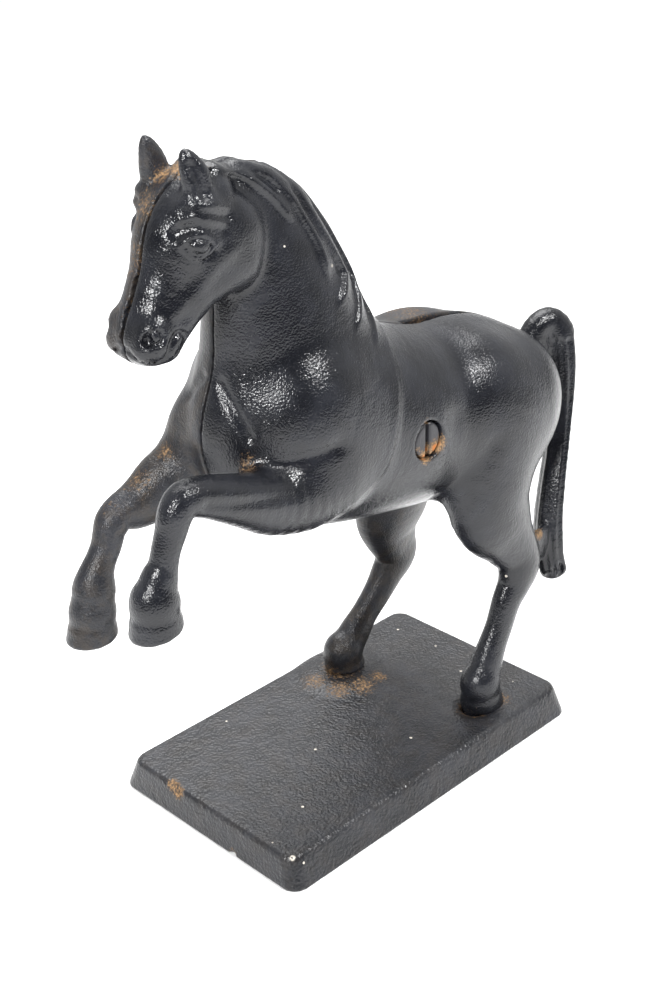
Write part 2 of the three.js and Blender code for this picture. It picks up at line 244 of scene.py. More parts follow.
LEFT_FORELEG = smooth_path([
    [-24, -13, 100.2, 11, 12.2], [-31, -14, 98.4, 10, 10.4], [-41.8, -16, 99.8, 7.5, 8.2],
    [-50.8, -17, 103.7, 6.3, 6.6],
    [-57.7, -17.5, 107, 5.5, 5.6], [-63.8, -17.5, 109.7, 4.8, 4.9], [-69.3, -17.5, 110.9, 4.2, 4.4],
    [-72, -17.5, 108.5, 4, 4.2], [-73.3, -17.2, 104.6, 3.6, 3.8], [-74.9, -17, 100.5, 3.3, 3.5],
    [-76, -16.8, 96.5, 3.4, 3.6], [-77.5, -16.6, 93, 4.2, 4.6], [-78.3, -16.5, 89.8, 3.6, 3.8],
])
RIGHT_FORELEG = smooth_path([
    [-24, 12, 97, 11, 13], [-34, 12, 99, 10, 11], [-43.2, 12.6, 99.4, 8.5, 9.2], [-49, 14, 97.6, 7, 8.8],
    [-53.7, 15, 95.4, 5.9, 7.4], [-57.8, 15.6, 94.1, 5, 6.2], [-62.5, 16, 93.8, 4.3, 4.5],
    [-65, 16, 92, 4.3, 4.4],
    [-66.2, 16, 90, 3.9, 4.1], [-67.5, 16, 86.5, 3.7, 3.9], [-69.5, 16, 83.2, 3.7, 3.9],
    [-71.4, 16, 79.7, 4.3, 4.6],
    [-72.4, 16, 76, 5.2, 5.5], [-73, 16, 72.5, 4.5, 4.8],
])
LEFT_HINDLEG = smooth_path([
    [44, -11, 92, 14, 18], [39, -15.5, 81.5, 10.5, 16], [37.2, -18, 70.5, 8, 14],
    [41.7, -19.6, 60.8, 6, 9.8],
    [46.4, -20.5, 52.9, 5, 7.5], [47.5, -21, 47.8, 4.8, 7.4], [45.7, -21, 43.2, 4.3, 5.8],
    [42.3, -21, 38.5, 3.8, 5], [39.4, -21, 31.8, 3.6, 4.7], [36.6, -21, 26.7, 3.8, 4.7],
    [34.3, -21, 22.1, 4.3, 5], [32.6, -21, 17.6, 4.7, 5.4],
], 5)
RIGHT_HINDLEG = smooth_path([
    [40.5, 11, 86, 13.5, 17], [36, 15, 71, 9.6, 14], [35.6, 17, 60.2, 7.8, 13.5],
    [36.3, 18.5, 52.2, 6, 10.4],
    [38.9, 19.5, 44.7, 5, 8], [40.3, 20, 39.6, 4.8, 7.2], [36.7, 20, 35.1, 4.3, 5.8],
    [32.3, 20, 30, 3.9, 4.8],
    [26.6, 20, 24.8, 3.7, 4.4], [22.2, 20, 20.5, 4.3, 5], [18.5, 20, 16.5, 4.8, 5.4],
], 5)
TAIL = smooth_path([
    [62, -5.5, 98, 3, 4], [66, -5.5, 103, 3.4, 4.5], [70.8, -5.6, 108.6, 3.7, 4.3],
    [75.2, -6.6, 110, 3.9, 4.5],
    [77.9, -8.4, 107, 4.1, 4.9], [78, -9.8, 101.5, 4.2, 4.9], [77.1, -11, 95, 4.2, 4.6],
    [75.4, -12.2, 87, 4.2, 4],
    [73, -13.5, 80, 4.3, 3.6], [70.1, -15, 71.8, 4.5, 3.4], [67.7, -16, 65, 4.7, 3.6],
    [65.6, -17, 56.5, 4.9, 3.9],
    [64.5, -18, 49.5, 5.1, 4.2], [64.6, -18.5, 44, 5.2, 4.2], [65.3, -19, 40.2, 5.3, 4.3],
])
TAIL_WEB = smooth_path([[50, -20.5, 51.5, 1.6, 4], [57, -19.8, 50.5, 1.6, 5], [65, -18.3, 49, 1.6, 6]])
# Where each leg meets its hoof, how the hoof leans in degrees, and the height of its sole if it stands.
HOOVES = {
    "left_front": ((-79, -16.5, 88.6), -8, None),
    "right_front": ((-73.5, 16, 71), -2, None),
    "left_hind": ((31.2, -21, 16), -16, 8.1),
    "right_hind": ((16.6, 20, 15.8), -16, 10.5),
}
SCREW_X, SCREW_Z = 6.0, 101.5
SCREW_FACE_Y = -22.6
SCREW_HEAD_RADIUS = 4.75
SCREW_SLOT_HALF = 0.65
RECESS_RADIUS = 5.2
RECESS_Y = -20.2     # floor of the recess round the screw head
POST_RADIUS = 5.6
SHANK_HOLE_RADIUS = 2.7
SEAM = 0.15          # each half stops this far from the middle plane
WALL = 3.2
TENON = (29, -21)    # the left hind hoof is riveted through the plate here
TENON_RADIUS = 3.2
COIN_SLOT = ((22, -0.2, 105), (49, 2.1, 140))      # low and high corners of the cut along the back


def hoof(p, name):
    """A flared hoof under a coronet band, with a flat sole."""
    (x, y, z), lean, sole = HOOVES[name]
    c, s = math.cos(math.radians(lean)), math.sin(math.radians(lean))
    profile = [(0, 1.8, 3.9, 4.4), (0.2, 0.4, 5.3, 5.9), (0, -1.2, 5.5, 6.0), (-0.1, -2.2, 4.7, 5.2),
               (-0.3, -3.1, 5.4, 5.9), (-0.9, -7.6, 6.1, 6.8)]
    stations = [[x + forward * c + up * s, y, z - forward * s + up * c, wide, deep]
                for forward, up, wide, deep in profile]
    body = limb(p, smooth_path(stations, 2))
    down = (-s, -c)
    low_end = stations[-1]
    if sole is None:
        ahead = (p.x - np.float32(low_end[0])) * np.float32(down[0])
        below = (p.z - np.float32(low_end[2])) * np.float32(down[1])
        under = ahead + below
    else:
        under = np.float32(sole) - p.z
    return meet(body, under + 0 * body, 0.8)


# Masses on each side, as on the left: centre, radii and how softly they join.
MUSCLES = [
    ((53.2, -11, 94), (15.8, 13, 18.7), 6),         # buttock
    ((38, -12, 98), (17, 13, 19), 5),               # haunch
    ((-24.5, -12, 114), (14.5, 11.4, 17.5), 6),     # shoulder
    ((-16, -12.6, 106), (14, 10.6, 14), 5),         # upper arm
]
# Furrows on each side, as on the left: path, width and depth.
FURROWS = [
    ([(16.5, -23, 103), (16, -23.6, 96), (19, -22.8, 88)], 4.0, 0.8),  # flank
    ([(30, -24, 92), (26.7, -22.8, 87), (21.2, -18.9, 82), (20.5, -13.6, 77.5)], 3.2, 1.1),  # stifle fold
    ([(-44.8, -3.4, 127), (-44, -7.6, 121.2), (-43.4, -11, 115.5)], 1.5, 0.8),  # breast
    ([(-41, -18, 108.4), (-33.2, -21, 110), (-27, -22.6, 111)], 2.0, 1.0),  # elbow crease
]
# The raised rear edge of the shoulder blade, from the withers down.
SHOULDER_EDGE = [
    (1.2, -10, 130), (-0.8, -16.3, 123.3), (-4, -21, 115), (-8.4, -22.6, 106.2), (-13.2, -22.4, 98.1),
    (-24.6, -23.1, 92.6),
]
# Masses that only the horse's right side has: centre, radii and how softly they join.
RIGHT_MASSES = [
    ((-38.4, 11, 108), (10.2, 8.8, 12.2), 4),       # breast
    ((27, 7.5, 105.5), (25, 12.5, 17.2), 3),        # loin, a little higher than on the left
]


def body(p, side):
    d = join(limb(p, TRUNK), limb(p, NECK), 8)
    d = join(d, limb(p, CREST), 3)
    for centre, radii, blend in MUSCLES:
        d = join(d, ball(p, (centre[0], -side * centre[1], centre[2]), radii), blend)
    for points, width, depth in FURROWS:
        d = d + groove(p, mirrored(points, side), width, depth)
    if side > 0:
        for centre, radii, blend in RIGHT_MASSES:
            d = join(d, ball(p, centre, radii), blend)
    return d - lip(p, mirrored(SHOULDER_EDGE, side), 0.9, 7.0, 1.6)


BROW_WRINKLES = [
    [(-57.0, -7.9, 171.4), (-54.9, -11.6, 171.4), (-46.2, -10.9, 168.6)],
    [(-58.5, -7.0, 166.4), (-56.8, -8.5, 167.9), (-54.1, -11.8, 168.4), (-47.8, -11.4, 165.9)],
]
MOUTH = [
    (-69.6, -0.9, 142), (-67.5, -5.2, 140.3), (-64.2, -7.3, 140), (-63.2, -8.1, 141.8),
    (-62.3, -8.3, 143.7), (-60.2, -8, 145.2), (-58.4, -8, 144.2), (-58.8, -7.8, 141.6), (-61, -7, 139.6),
]
UPPER_LID = [
    (-57.7, -8.3, 164.4), (-56.2, -9.6, 166.0), (-54.3, -10.4, 166.4), (-52.2, -10.8, 165.5),
    (-50.2, -10.9, 163.4),
]
LOWER_LID = [
    (-57.4, -8.4, 163.4), (-56.0, -9.4, 161.6), (-54.2, -10.1, 161.1), (-52.2, -10.6, 161.7),
    (-50.4, -10.9, 163.2),
]


def eye(p, d, side):
    """A socket, an eyeball and two lids."""
    d = cut(d, ball(p, (-54.6, side * 11.3, 163.6), (4.7, 3.1, 3.4), -12), 1.0)
    d = join(d, ball(p, (-54.0, side * 9.1, 163.7), (2.9, 2.6, 2.0), -12), 0.2)
    d = join(d, limb(p, thread(mirrored(UPPER_LID, side), (0.6, 0.6))), 0.7)
    return join(d, limb(p, thread(mirrored(LOWER_LID, side), (0.5, 0.5))), 0.7)


def head(p, side):
    far = 0.8 if side > 0 else 0.0
    d = limb(p, HEAD)
    d = join(d, ball(p, (-51.5, side * (6.6 + far), 170), (5.4, 5.0, 5.6)), 2)
    d = join(d, ball(p, (-42.8, side * 5.8, 161.3), (10.2, 5.9, 11.2), 20), 0.9)
    crest = [(-47, -9.6, 160.5), (-51.5, -9.0, 156.6), (-56, -8.0, 152.6), (-60, -7.0, 149.3)]
    d = join(d, limb(p, thread(mirrored(crest, side), (1.6, 1.0))), 2.5)
    d = join(d, ball(p, (-65, side * 5.4, 145.2), (3.4, 3.0, 3.5)), 2.6)
    d = join(d, ball(p, (-65, side * 4.6, 142), (4.4, 3.6, 3.4)), 2.0)
    chin = [(-61.2, -4.6, 141.6), (-58.6, -5.2, 145), (-53.5, -5.8, 149.6)]
    d = join(d, limb(p, thread(mirrored(chin, side), (3.6, 3.4))), 1.6)
    jaw = [(-41, -5.2, 156), (-46.5, -5.6, 154), (-54, -5.6, 151.2)]
    d = join(d, limb(p, thread(mirrored(jaw, side), (6.2, 4.0))), 2.0)
    for wrinkle in BROW_WRINKLES:
        d = d + groove(p, mirrored(wrinkle, side), 0.9, 1.5)
    d = eye(p, d, side)
    nostril = ring((-66.1, side * 7.2, 145.4), (-0.45, 0.85 * side, 0.25), 1.7, 0.85)
    d = d + groove(p, nostril, 0.65, 1.0)
    d = cut(d, ball(p, (-67.6, side * 6.6, 144.8), (1.3, 1.3, 1.6)), 0.6)
    return d + groove(p, mirrored(MOUTH, side), 0.6, 1.1)


def ear(p, d, side):
    path = EAR.copy()
    path[:, 1] *= -side
    if side > 0:
        path[:, 2] += np.linspace(0, 1.2, len(path))
        path[:, 0] -= np.linspace(0, 0.9, len(path))
    d = join(d, limb(p, path), 1)
    scoop = [(-51.7, -9.9, 174.4), (-52.3, -9.5, 177.2), (-53.4, -8.4, 180.4)]
    return d + groove(p, mirrored(scoop, side), 1.0, 2.2)


# Edges of the mane's locks, from the poll down the left side of the neck.
LOCKS = [
    [(-44, -4.4, 177.6), (-37.3, -4.6, 175.2), (-33, -5.9, 171.9), (-29.5, -6.7, 168.5),
     (-27.1, -7.6, 165.2)],
    [(-36, -1.2, 176.2), (-29.2, -3.1, 173.5), (-24.1, -5.6, 167.6), (-21.1, -7.5, 161.4),
     (-19, -9.3, 156.2), (-18.2, -10.8, 151.8)],
    [(-27, -1.4, 172.8), (-20.6, -3.0, 168.2), (-16.6, -5.8, 160.6), (-12.6, -7.9, 152.4),
     (-10.6, -9.6, 147), (-13.6, -12.6, 143.6)],
    [(-19, -1.2, 167.4), (-13.2, -2.4, 161.6), (-8.6, -5.2, 153), (-5.8, -7.6, 145.6),
     (-6.6, -10.6, 140.6), (-9.6, -13.2, 136.4)],
    [(-9, -1.4, 157), (-4.4, -3.6, 149), (-1.4, -6.4, 140), (-1.8, -9.6, 134.6), (-4, -12.6, 130.6)],
]


LOCK_RISES = (1.5, 1.9, 1.9, 1.6, 1.2)     # how far each lock stands up at its edge


def mane(p, d, side):
    """Overlapping locks down the neck, with fine strands between their edges."""
    for lock, rise in zip(LOCKS, LOCK_RISES):
        points = mirrored(lock, side)
        d = d - lip(p, points[::-1], rise, 4.0, 0.8)
        strand = [(x + 1.6, y - 0.3 * side, z + 1.3) for x, y, z in points[:-1]]
        d = d + groove(p, strand, 0.9, 0.6)
    return d


TAIL_STRANDS = 11
TAIL_NOTCH_Z = 36.2


def tail(p, d):
    """A looped tail with lengthwise furrows all round and a ragged end, joined to the hock by a web."""
    d = join(d, limb(p, TAIL), 1.2)
    d = join(d, ball(p, (71.5, -6.5, 103.5), (4.5, 3.2, 6)), 1.5)
    end = TAIL[-1]
    for i in range(TAIL_STRANDS):
        turn_by = 2 * math.pi * (i + 0.3 * math.sin(2.3 * i)) / TAIL_STRANDS
        c, s = math.cos(turn_by), math.sin(turn_by)
        furrow = [(q[0] + q[4] * c, q[1] + q[3] * s, q[2]) for q in TAIL[13::4]]
        d = d + groove(p, furrow, 0.7, 1.4)
        notch = (end[0] + 0.8 * end[4] * c, end[1] + 0.8 * end[3] * s, TAIL_NOTCH_Z + i % 3)
        d = cut(d, ball(p, notch, (1.0, 1.0, 4.4)), 0.4)
    return join(d, limb(p, TAIL_WEB), 1.5)


# A crease along the outside of the left forearm.
FOREARM_CREASE = [(-66, -21.5, 109.7), (-58, -22.8, 107.3), (-48, -23.4, 105), (-40, -23.6, 103.5)]


def horse(p, side):
    """The outside of the horse near one side, before the halves are parted."""
    d = join(body(p, side), head(p, side), 2)
    d = mane(p, d, side)
    if side < 0:
        d = join(d, join(limb(p, LEFT_FORELEG), hoof(p, "left_front"), 0.8), 5)
        d = join(d, join(limb(p, LEFT_HINDLEG), hoof(p, "left_hind"), 0.8), 6)
        d = d + groove(p, FOREARM_CREASE, 1.3, 0.7)
        d = tail(p, d)
    else:
        d = join(d, join(limb(p, RIGHT_FORELEG), hoof(p, "right_front"), 0.8), 5)
        d = join(d, join(limb(p, RIGHT_HINDLEG), hoof(p, "right_hind"), 0.8), 6)
    return ear(p, d, side)


def hollow(p):
    d = join(limb(p, TRUNK), limb(p, NECK), 8)
    return d + np.float32(WALL)


def rod_z(p, x, y, radius, low, high):
    """Distance to an upright rod."""
    round_part = np.sqrt((p.x - np.float32(x)) ** 2 + (p.y - np.float32(y)) ** 2) - np.float32(radius)
    return np.maximum(round_part, np.maximum(np.float32(low) - p.z, p.z - np.float32(high)))


def slab(p, low, high):
    """Distance to an upright box, along the axes."""
    gaps = [np.maximum(np.float32(a) - q, q - np.float32(b)) for a, b, q in zip(low, high, (p.x, p.y, p.z))]
    return np.maximum(np.maximum(gaps[0], gaps[1]), gaps[2])


def seam_gap(p, side):
    """How far a half stops from the middle plane: a ragged gap down the face, a tight joint elsewhere."""
    face = np.exp(-((p.z - np.float32(152)) / np.float32(14)) ** 2) * (p.x < -50)
    ragged = 0.5 + 0.25 * np.sin(p.z * np.float32(1.1)) + 0.25 * np.sin(p.z * np.float32(2.9) + 1)
    return np.float32(SEAM) + face * (np.float32(0.35) if side < 0 else 1.1 * ragged)


def half(p, side):
    """One casting: the horse's side, hollowed, with its screw post, parted at the middle plane."""
    d = horse(p, side)
    d = cut(d, hollow(p), 1.0)
    post_low, post_high = (-22, -0.4) if side < 0 else (0.4, 22)
    post = rod_y(p, SCREW_X, SCREW_Z, POST_RADIUS, post_low, post_high)
    d = join(d, post, 1.0)
    d = meet(d, seam_gap(p, side) - side * p.y, 0.5)
    d = cut(d, slab(p, *COIN_SLOT), 0.3)
    if side < 0:
        d = cut(d, rod_y(p, SCREW_X, SCREW_Z, RECESS_RADIUS, -40, RECESS_Y), 0.4)
        d = cut(d, rod_y(p, SCREW_X, SCREW_Z, SHANK_HOLE_RADIUS, -40, 5), 0.2)
        d = join(d, rod_z(p, *TENON, TENON_RADIUS, 3.2, 10), 0.3)
        d = join(d, rod_z(p, *TENON, 5, 2.9, 4.5), 0.8)
    else:
        d = cut(d, rod_y(p, SCREW_X, SCREW_Z, SHANK_HOLE_RADIUS, -5, 21.8), 0.2)
    return d


# ---- The plate and the screw ----
PLATE_TOP = 9.0
PLATE_HALF = (56.5, 34.7)                 # half the outline at the bottom, along X and Y
PLATE_SLOPE = (1.8, 2.9)                  # how far the sides lean in at the top, along X and Y
PLATE_CORNER = 4.4
PAD_TOP = 10.2                            # flat top of the pad under the right hind hoof
CHIPS = [        # place and size of each knock or pit in the plate's edges
    ((-55.6, 12, 8.0), (1.6, 2.4, 1.5)), ((-54.6, 14.2, 8.7), (1.2, 1.5, 0.9)),
    ((-56.6, -11, 0.5), (1.2, 1.3, 1.1)),
    ((-52.6, -32.2, 9), (1.6, 0.8, 0.7)), ((-49.6, -33, 9), (1.4, 0.7, 0.6)),
    ((-54.6, -29.6, 9), (0.7, 1.6, 0.6)),
    ((20, -32.3, 9), (1.8, 0.6, 0.5)), ((44, -32.4, 9), (1.2, 0.6, 0.5)),
]


def plate(p):
    """A cast plate with sloping sides, a low mound under one hoof and a shallow seat for the other."""
    rise = p.z * np.float32(1 / PLATE_TOP)
    gx = np.abs(p.x) - (PLATE_HALF[0] - PLATE_CORNER - PLATE_SLOPE[0] * rise)
    gy = np.abs(p.y) - (PLATE_HALF[1] - PLATE_CORNER - PLATE_SLOPE[1] * rise)
    outside = np.sqrt(np.maximum(gx, 0) ** 2 + np.maximum(gy, 0) ** 2)
    outline = outside + np.minimum(np.maximum(gx, gy), 0) - PLATE_CORNER
    d = meet(outline, p.z - np.float32(PLATE_TOP), 1.4)
    d = join(d, ball(p, (15.5, 20, 6.4), (14, 13, 4.4)), 3.0)
    d = meet(d, p.z - np.float32(PAD_TOP), 0.6)
    d = meet(d, -p.z, 0.7)
    d = cut(d, meet(outline + 5, p.z - np.float32(4.8), 1.0), 0.8)
    d = cut(d, ball(p, (29, -21, 10.2), (7.4, 6.7, 2.5)), 0.8)
    d = cut(d, rod_z(p, *TENON, 3.6, -1, 20), 0.4)
    for centre, radii in CHIPS:
        d = cut(d, ball(p, centre, radii), 0.4)
    return d.astype(np.float32)


def screw(p):
    """A slotted flat head on a plain shank."""
    head_disc = rod_y(p, SCREW_X, SCREW_Z, SCREW_HEAD_RADIUS, -30, -20.3)
    d = meet(head_disc, np.float32(SCREW_FACE_Y) - p.y, 0.7)
    d = join(d, rod_y(p, SCREW_X, SCREW_Z, 2.3, -21, 21.5), 0.3)
    slot_low = (SCREW_X - SCREW_SLOT_HALF, -30, SCREW_Z - 6)
    slot_high = (SCREW_X + SCREW_SLOT_HALF, -21.1, SCREW_Z + 6)
    return cut(d, slab(p, slot_low, slot_high), 0.25)


# ---- Fields to meshes ----


def surface(field, low, high):
    """Surface nets: the vertices and quads where the field is zero, in the box from low to high, in mm."""
    n = round(BLOCK / CELL)
    low = np.array(low, float)
    blocks = np.ceil((np.array(high) - low) / BLOCK).astype(int)
    coarse = field(Block(low + BLOCK / 2, blocks, BLOCK))
    wide = blocks[1:] * n + 2
    points, ids, edges = [], [], []
    for block in np.argwhere(np.abs(coarse) < 1.3 * BLOCK):
        corner = low + block * BLOCK
        value = field(Block(corner, [n + 1] * 3, CELL))
        inside = value < 0
        if inside.all() or not inside.any():
            continue
        total = np.zeros((n, n, n, 3))
        count = np.zeros((n, n, n))
        for axis in range(3):
            a = np.moveaxis(value, axis, 0)
            crosses = (a[:-1] < 0) != (a[1:] < 0)
            t = np.where(crosses, a[:-1] / np.where(crosses, a[:-1] - a[1:], 1), 0)
            for i in (0, 1):
                for j in (0, 1):
                    part = crosses[:, i:n + i, j:n + j]
                    place = np.zeros((n, n, n, 3))
                    place[..., 0] = t[:, i:n + i, j:n + j]
                    place[..., 1] = i
                    place[..., 2] = j
                    place = np.where(part[..., None], place, 0)
                    others = [k for k in range(3) if k != axis]
                    order = [0, 0, 0]
                    order[others[0]], order[others[1]] = 1, 2
                    total += np.moveaxis(place, 0, axis)[..., order]
                    count += np.moveaxis(part, 0, axis)
            low_end = crosses[:, :n, :n]
            where = np.argwhere(np.moveaxis(low_end, 0, axis))
            flip = np.moveaxis(a[:-1] < 0, 0, axis)[:n, :n, :n][tuple(where.T)]
            cell = where + block * n
            edges.append(np.column_stack([cell, np.full(len(cell), axis), flip]))
        used = np.argwhere(count > 0)
        spot = tuple(used.T)
        points.append(corner + CELL * (used + total[spot] / count[spot][:, None]))
        cell = used + block * n + 1
        ids.append((cell[:, 0] * wide[0] + cell[:, 1]) * wide[1] + cell[:, 2])
    points, ids, edges = np.concatenate(points), np.concatenate(ids), np.concatenate(edges)
    order = np.argsort(ids)
    points, ids = points[order], ids[order]
    quads = []
    for axis in range(3):
        rows = edges[edges[:, 3] == axis]
        u, v = [(1, 2), (2, 0), (0, 1)][axis]
        loop = []
        for du, dv in ((-1, -1), (0, -1), (0, 0), (-1, 0)):
            cell = rows[:, :3] + 1
            cell[:, u] += du
            cell[:, v] += dv
            loop.append((cell[:, 0] * wide[0] + cell[:, 1]) * wide[1] + cell[:, 2])
        loop = np.stack(loop, 1)
        loop[rows[:, 4] == 0] = loop[rows[:, 4] == 0][:, ::-1]
        quads.append(loop)
    quads = np.concatenate(quads)
    found = np.searchsorted(ids, quads).clip(0, len(ids) - 1)
    whole = (ids[found] == quads).all(1)
    return points, found[whole]


def smooth_object(name, points, faces, triangles=None):
    """A smooth-shaded object from a mesh in mm, thinned out where it has more triangles than allowed."""
    mesh = bpy.data.meshes.new(name)
    points = (points + np.array([PLATE_X, 0, 0])) * MM
    mesh.vertices.add(len(points))
    mesh.vertices.foreach_set("co", points.astype(np.float32).ravel())
    mesh.loops.add(faces.size)
    mesh.loops.foreach_set("vertex_index", faces.astype(np.int32).ravel())
    mesh.polygons.add(len(faces))
    mesh.polygons.foreach_set("loop_start", np.arange(0, faces.size, faces.shape[1], dtype=np.int32))
    mesh.polygons.foreach_set("use_smooth", np.ones(len(faces), bool))
    mesh.update(calc_edges=True)
    mesh.validate()
    piece = bpy.data.objects.new(name, mesh)
    bpy.context.scene.collection.objects.link(piece)
    soften = piece.modifiers.new("soften", "SMOOTH")
    soften.factor = 0.5
    soften.iterations = 2
    bpy.context.view_layer.objects.active = piece
    bpy.ops.object.modifier_apply(modifier=soften.name)
    if triangles and 2 * len(faces) > triangles:
        thin = piece.modifiers.new("thin", "DECIMATE")
        thin.ratio = triangles / (2 * len(faces))
        bpy.ops.object.modifier_apply(modifier=thin.name)
    return piece


# ---- Materials ----


class Nodes:
    """A short way to write a material's nodes."""

    def __init__(self, name):
        self.material = bpy.data.materials.new(name)
        self.material.use_nodes = True
        self.tree = self.material.node_tree
        self.shader = self.tree.nodes["Principled BSDF"]
        self.place = self.tree.nodes.new("ShaderNodeTexCoord").outputs["Object"]

    def link(self, value, socket):
        if hasattr(value, "is_output"):
            self.tree.links.new(value, socket)
        else:
            socket.default_value = value

    def noise(self, size, detail=3.0, rough=0.6):
        node = self.tree.nodes.new("ShaderNodeTexNoise")
        self.link(self.place, node.inputs["Vector"])
        node.inputs["Scale"].default_value = 1 / (size * MM)
        node.inputs["Detail"].default_value = detail
        node.inputs["Roughness"].default_value = rough
        return node.outputs["Fac"]

    def ramp(self, value, low, high):
        node = self.tree.nodes.new("ShaderNodeMapRange")
        node.interpolation_type = "SMOOTHSTEP"
        self.link(value, node.inputs["Value"])
        node.inputs["From Min"].default_value = low
        node.inputs["From Max"].default_value = high
        return node.outputs["Result"]

    def math(self, operation, a, b=0.0):
        node = self.tree.nodes.new("ShaderNodeMath")
        node.operation = operation
        self.link(a, node.inputs[0])
        self.link(b, node.inputs[1])
        return node.outputs[0]

    def mix(self, amount, a, b):
        node = self.tree.nodes.new("ShaderNodeMix")
        node.data_type = "RGBA"
        self.link(amount, node.inputs["Factor"])
        self.link((*a, 1.0) if isinstance(a, tuple) else a, node.inputs["A"])
        self.link((*b, 1.0) if isinstance(b, tuple) else b, node.inputs["B"])
        return node.outputs["Result"]

    def attribute(self, name):
        node = self.tree.nodes.new("ShaderNodeAttribute")
        node.attribute_name = name
        return node.outputs["Fac"]

    def bump(self, height, distance, strength=1.0):
        node = self.tree.nodes.new("ShaderNodeBump")
        node.inputs["Strength"].default_value = strength
        node.inputs["Distance"].default_value = distance * MM
        self.link(height, node.inputs["Height"])
        self.link(node.outputs["Normal"], self.shader.inputs["Normal"])


def painted_iron(name, grain, depth, gloss, paint=(0.008, 0.0085, 0.011), tinge=0.0, specks=0.85):
    """Black paint over sand-cast iron, with rust where the rust attribute says, a few pale specks, and pale
    spots of bare iron at chipped edges that also stand in as a painted highlight along those edges.

    grain and depth are the size and height of the sand texture in mm, gloss is the paint's roughness, tinge
    is how much brown dust lies on it, and a higher value of specks leaves fewer of them.
    """
    n = Nodes(name)
    broad = n.noise(9.0, 2.0)
    sand = n.noise(grain, 1.5, 0.5)
    n.bump(n.math("ADD", sand, n.math("MULTIPLY", n.noise(2.4, 2.0), 0.8)), depth)
    worn = tuple(1.8 * c for c in paint)
    black = n.mix(n.ramp(broad, 0.35, 0.7), paint, worn)
    dusty = n.math("MULTIPLY", n.ramp(n.noise(5.0, 4.0, 0.7), 0.42, 0.62), tinge)
    brown = n.mix(dusty, black, (0.05, 0.036, 0.022))
    spread = n.attribute("rust")
    flecks = n.math("MULTIPLY", n.noise(0.8, 5.0, 0.85), 1.5)
    rust = n.ramp(n.math("ADD", spread, flecks), 1.2, 1.45)
    ochre = n.mix(n.ramp(n.noise(0.7, 3.0, 0.7), 0.4, 0.62), (0.07, 0.045, 0.025), (0.27, 0.16, 0.075))
    tone = n.mix(n.ramp(spread, 0.76, 0.9), ochre, (0.36, 0.12, 0.022))
    rusty = n.mix(rust, brown, tone)
    cells = n.tree.nodes.new("ShaderNodeTexVoronoi")
    n.link(n.place, cells.inputs["Vector"])
    cells.inputs["Scale"].default_value = 1 / (7 * MM)
    chosen = n.tree.nodes.new("ShaderNodeSeparateColor")
    n.link(cells.outputs["Color"], chosen.inputs["Color"])
    speck = n.math("MULTIPLY", n.math("GREATER_THAN", chosen.outputs["Red"], specks),
                   n.math("LESS_THAN", cells.outputs["Distance"], 0.06))
    # Pale bare iron where the edges are chipped, also serving as a painted highlight along those edges.
    chipped_and_edge_highlight = n.math("MULTIPLY", n.attribute("chipped_and_edge_highlight"), n.ramp(n.noise(0.8, 3.0), 0.3, 0.5))
    marked = n.mix(n.math("MAXIMUM", speck, n.ramp(chipped_and_edge_highlight, 0.3, 0.5)), rusty, (0.5, 0.46, 0.4))
    n.link(marked, n.shader.inputs["Base Color"])
    paint_roughness = n.math("ADD", n.math("MULTIPLY", broad, 0.24), gloss - 0.12)
    roughness = n.math("ADD", n.math("MULTIPLY", rust, 0.4), paint_roughness)
    n.link(roughness, n.shader.inputs["Roughness"])
    n.shader.inputs["Specular IOR Level"].default_value = 0.4
    return n.material


def paint_spots(piece, name, spots):
    """Stores how strong a mark is at each vertex; a spot is x, y, z, radius and strength, in mm."""
    mesh = piece.data
    co = np.empty(len(mesh.vertices) * 3, np.float32)
    mesh.vertices.foreach_get("co", co)
    co = co.reshape(-1, 3) / MM - np.array([PLATE_X, 0, 0])
    amount = np.zeros(len(co))
    for x, y, z, radius, strength in spots:
        d = np.linalg.norm(co - np.array([x, y, z]), axis=1)
        amount = np.maximum(amount, strength * np.exp(-(d / radius) ** 2))
    layer = mesh.attributes.new(name, "FLOAT", "POINT")
    layer.data.foreach_set("value", amount.astype(np.float32))


# ---- The pieces ----
# Rust spots: x, y, z, radius and strength.
LEFT_RUST = [
    (-50, -1, 176.5, 3.4, 0.75), (-46, -4, 177, 3, 0.55), (-43, -6, 175, 2.5, 0.45),
    (-45, -12, 109, 5, 0.55),
    (-43.5, -9, 109.5, 2.4, 0.6), (-52, -14, 109.5, 6, 0.4), (5, -22, 97.5, 3.2, 0.95),
    (10.2, -22, 99, 3.4, 0.85),
    (5, -22.5, 106.6, 2.4, 0.5), (56.5, -21, 54.5, 3.0, 0.78), (60, -20, 62, 5, 0.45),
    (66, -19, 70, 9, 0.35),
    (29, -21, 8.5, 6, 0.45), (-8, -23, 101, 2, 0.45), (0, -8, 83, 6, 0.4), (-22, -1, 171, 5, 0.45),
    (-77, -16, 79, 8, 0.2),
    (35, -21, 24, 7, 0.3),
]
RIGHT_RUST = [
    (-51, 4, 175, 5, 0.72), (-49, 2, 177, 4.5, 0.74), (-57, 3, 170, 8, 0.55), (-62, 2, 160, 9, 0.5),
    (-66, 1.5, 150, 7, 0.42),
    (-50, 12, 106.5, 4.5, 0.6), (-58, 14, 101, 7, 0.5), (-66, 15, 98, 7, 0.42),
    (14, 20, 10.5, 4.5, 0.85), (22, 20, 24, 8, 0.4), (30, 6, 122, 14, 0.5), (30, 1, 121, 4, 0.5),
    (45, 14, 72, 12, 0.4),
    (-44, 4, 120, 20, 0.3), (30, 19, 35, 12, 0.35),
]
